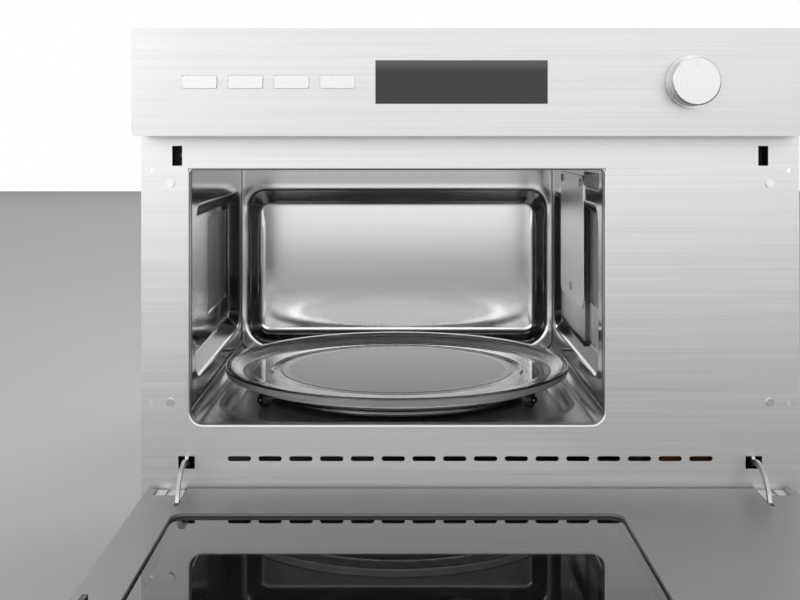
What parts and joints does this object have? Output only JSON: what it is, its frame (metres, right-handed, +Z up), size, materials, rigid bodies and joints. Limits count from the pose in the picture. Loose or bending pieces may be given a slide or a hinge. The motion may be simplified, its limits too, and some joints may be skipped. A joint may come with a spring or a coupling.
{
  "type": "built-in microwave oven",
  "caption": "Built-in microwave oven with a steel-lined cavity, glass turntable on rollers, drop-down door, control strip, cooling fan and microwave supply inside a sheet casing",
  "frame": {"origin": "centre of the underside of the base plate, where the oven rests on its shelf", "axes": "+X to the user's right, +Y from the face to the back, +Z up; the door is open at rest"},
  "size_m": [0.595, 0.848, 0.455],
  "materials": {
    "brushed_face_steel": "fine horizontal brushing",
    "polished_liner_steel": "bright polished stainless",
    "satin_liner_steel": "satin stainless with pressed borders",
    "waveguide_cover_grey": "smooth pale mica sheet",
    "clip_grey": "pale matt",
    "zinc_sheet": "plain zinc-coated sheet",
    "screw_steel": "bright plated",
    "cast_hinge_steel": "plain zinc-plated steel",
    "black_plastic": "fine matt moulding",
    "terminal_white": "pale moulding",
    "motor_steel": "plain plated steel",
    "cooling_aluminium": "mill finish",
    "copper_winding": "lacquered copper wire",
    "lamp_glass": "clear bulb",
    "clear_glass": "clear pressed glass with a frosted centre",
    "ring_grey": "smooth heat-resistant moulding",
    "roller_black": "smooth dark moulding",
    "black_glass": "gloss black back-coated glass",
    "tinted_glass": "dark clear glass",
    "screen_black": "perforated sheet, black enamel",
    "grip_aluminium": "fine horizontal brushing",
    "control_grey": "satin metal finish",
    "board_green": "lacquered circuit board"
  },
  "bodies": {
    "cabinet": {"front_frame": "brushed_face_steel", "cavity_wrap": "polished_liner_steel", "cavity_back": "satin_liner_steel", "cavity_ceiling": "satin_liner_steel", "left_vent_screen": "polished_liner_steel", "right_vent_screens": "polished_liner_steel", "waveguide_cover": "waveguide_cover_grey", "waveguide_cover_clips": "clip_grey", "casing_wrap": "zinc_sheet", "base_plate": "zinc_sheet", "rear_panel": "zinc_sheet", "case_screws": "screw_steel", "cord_gland": "black_plastic", "terminal_block": "terminal_white", "turntable_motor": "motor_steel", "waveguide": "zinc_sheet", "magnetron": "motor_steel", "magnetron_fins": "cooling_aluminium", "magnetron_filter_box": "motor_steel", "transformer_core": "cast_hinge_steel", "transformer_windings": "copper_winding", "capacitor": "cooling_aluminium", "thermal_cutouts": "cast_hinge_steel", "fan_housing": "black_plastic", "fan_motor": "motor_steel", "air_duct": "terminal_white", "exhaust_duct": "zinc_sheet", "lamp_holder": "zinc_sheet", "lamp": "lamp_glass", "hinge_brackets": "cast_hinge_steel", "door_switches": "black_plastic", "control_fascia": "brushed_face_steel", "control_carrier": "black_plastic", "display_lens": "black_glass", "control_board": "board_green"},
    "door": {"door_tray": "zinc_sheet", "door_screen": "screen_black", "door_inner_glass": "tinted_glass", "door_choke_cover": "black_plastic", "door_front_glass": "black_glass", "door_grip": "grip_aluminium", "hinge_blocks": "cast_hinge_steel", "check_arms": "cast_hinge_steel", "latch_housings": "black_plastic"},
    "turntable": {"turntable_glass": "clear_glass"},
    "coupler": {"drive_coupler": "black_plastic"},
    "ring": {"roller_ring": "ring_grey"},
    "roller_a": {"roller_1": "roller_black"},
    "roller_b": {"roller_2": "roller_black"},
    "roller_c": {"roller_3": "roller_black"},
    "fan": {"fan_wheel": "terminal_white"},
    "latch_l": {"latch_hook_left": "black_plastic"},
    "latch_r": {"latch_hook_right": "black_plastic"},
    "plunger_l": {"switch_plunger_left": "terminal_white"},
    "plunger_r": {"switch_plunger_right": "terminal_white"},
    "knob": {"control_knob": "control_grey"},
    "button_1": {"push_button_1": "control_grey"},
    "button_2": {"push_button_2": "control_grey"},
    "button_3": {"push_button_3": "control_grey"},
    "button_4": {"push_button_4": "control_grey"}
  },
  "joints": [
    {"name": "door_hinge", "type": "hinge", "parent": "cabinet", "child": "door", "pos_m": [0, -0.262, 0.034], "axis": [-1, 0, 0], "range_deg": [0, 90]},
    {"name": "turntable_spin", "type": "hinge", "parent": "cabinet", "child": "turntable", "pos_m": [-0.0662, -0.067, 0.1061], "axis": [0, 0, 1], "continuous": true},
    {"name": "coupler_spin", "type": "hinge", "parent": "cabinet", "child": "coupler", "pos_m": [-0.0662, -0.067, 0.0935], "axis": [0, 0, 1], "continuous": true},
    {"name": "ring_roll", "type": "hinge", "parent": "cabinet", "child": "ring", "pos_m": [-0.0662, -0.067, 0.0983], "axis": [0, 0, 1], "continuous": true},
    {"name": "roller_a_spin", "type": "hinge", "parent": "ring", "child": "roller_a", "pos_m": [-0.19784, -0.143, 0.0983], "axis": [0.866, 0.5, 0], "continuous": true},
    {"name": "roller_b_spin", "type": "hinge", "parent": "ring", "child": "roller_b", "pos_m": [0.06544, -0.143, 0.0983], "axis": [-0.866, 0.5, 0], "continuous": true},
    {"name": "roller_c_spin", "type": "hinge", "parent": "ring", "child": "roller_c", "pos_m": [-0.0662, 0.085, 0.0983], "axis": [0, -1, 0], "continuous": true},
    {"name": "fan_spin", "type": "hinge", "parent": "cabinet", "child": "fan", "pos_m": [0.205, 0.17, 0.29], "axis": [0, 1, 0], "continuous": true},
    {"name": "latch_l_lift", "type": "hinge", "parent": "door", "child": "latch_l", "pos_m": [-0.265, -0.571, 0.03], "axis": [1, 0, 0], "range_deg": [0, 8], "stiffness_Nm_per_rad": 0.03, "springref_deg": -8.59},
    {"name": "latch_r_lift", "type": "hinge", "parent": "door", "child": "latch_r", "pos_m": [0.265, -0.571, 0.03], "axis": [1, 0, 0], "range_deg": [0, 8], "stiffness_Nm_per_rad": 0.03, "springref_deg": -8.59},
    {"name": "plunger_l_press", "type": "slide", "parent": "cabinet", "child": "plunger_l", "axis": [0, 1, 0], "range_m": [0, 0.002], "stiffness_N_per_m": 150, "springref_m": -0.001},
    {"name": "plunger_r_press", "type": "slide", "parent": "cabinet", "child": "plunger_r", "axis": [0, 1, 0], "range_m": [0, 0.002], "stiffness_N_per_m": 150, "springref_m": -0.001},
    {"name": "knob_turn", "type": "hinge", "parent": "cabinet", "child": "knob", "pos_m": [0.19, -0.29, 0.408], "axis": [0, -1, 0], "continuous": true},
    {"name": "button_1_press", "type": "slide", "parent": "cabinet", "child": "button_1", "axis": [0, 1, 0], "range_m": [0, 0.0012], "stiffness_N_per_m": 300, "springref_m": -0.001},
    {"name": "button_2_press", "type": "slide", "parent": "cabinet", "child": "button_2", "axis": [0, 1, 0], "range_m": [0, 0.0012], "stiffness_N_per_m": 300, "springref_m": -0.001},
    {"name": "button_3_press", "type": "slide", "parent": "cabinet", "child": "button_3", "axis": [0, 1, 0], "range_m": [0, 0.0012], "stiffness_N_per_m": 300, "springref_m": -0.001},
    {"name": "button_4_press", "type": "slide", "parent": "cabinet", "child": "button_4", "axis": [0, 1, 0], "range_m": [0, 0.0012], "stiffness_N_per_m": 300, "springref_m": -0.001}
  ],
  "couplings": [
    {"joint": "coupler_spin", "follows": "turntable_spin", "ratio": 1},
    {"joint": "ring_roll", "follows": "turntable_spin", "ratio": 0.5},
    {"joint": "roller_a_spin", "follows": "turntable_spin", "ratio": 10.133},
    {"joint": "roller_b_spin", "follows": "turntable_spin", "ratio": 10.133},
    {"joint": "roller_c_spin", "follows": "turntable_spin", "ratio": 10.133}
  ]
}
